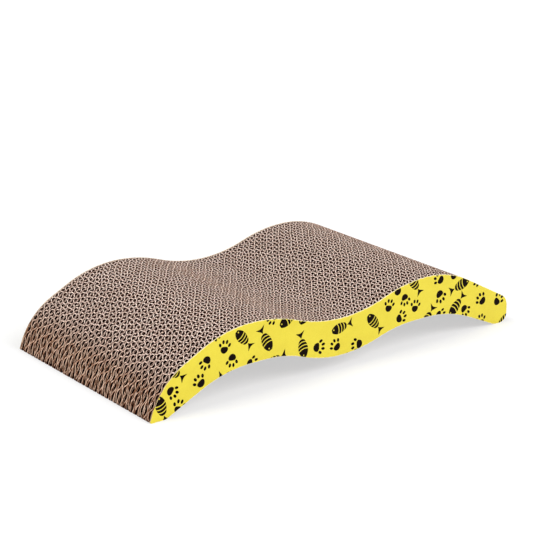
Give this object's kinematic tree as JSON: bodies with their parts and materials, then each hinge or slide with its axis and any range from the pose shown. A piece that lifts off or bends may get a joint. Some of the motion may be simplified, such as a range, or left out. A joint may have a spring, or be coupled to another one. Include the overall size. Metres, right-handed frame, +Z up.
{
  "type": "cardboard cat scratcher",
  "caption": "Wave-shaped cat scratcher of upright corrugated boards glued face to face, with a printed cover board on each side",
  "frame": {"origin": "centre of the footprint, on the floor that the pad rests on", "axes": "+X from the nose, which has the leaning face, to the tail; +Y from the near side to the far side; +Z up"},
  "size_m": [0.43, 0.226, 0.069],
  "materials": {
    "corrugated_board": "matte",
    "cover_board": "matte",
    "print_ink": "matte"
  },
  "bodies": {
    "root": {"near_cover": "cover_board", "far_cover": "cover_board", "board_01": "corrugated_board", "board_02": "corrugated_board", "board_03": "corrugated_board", "board_04": "corrugated_board", "board_05": "corrugated_board", "board_06": "corrugated_board", "board_07": "corrugated_board", "board_08": "corrugated_board", "board_09": "corrugated_board", "board_10": "corrugated_board", "board_11": "corrugated_board", "board_12": "corrugated_board", "board_13": "corrugated_board", "board_14": "corrugated_board", "board_15": "corrugated_board", "board_16": "corrugated_board", "board_17": "corrugated_board", "board_18": "corrugated_board", "board_19": "corrugated_board", "board_20": "corrugated_board", "board_21": "corrugated_board", "board_22": "corrugated_board", "board_23": "corrugated_board", "board_24": "corrugated_board", "board_25": "corrugated_board", "board_26": "corrugated_board", "board_27": "corrugated_board", "board_28": "corrugated_board", "board_29": "corrugated_board", "board_30": "corrugated_board", "board_31": "corrugated_board", "board_32": "corrugated_board", "board_33": "corrugated_board", "board_34": "corrugated_board"}
  },
  "joints": []
}
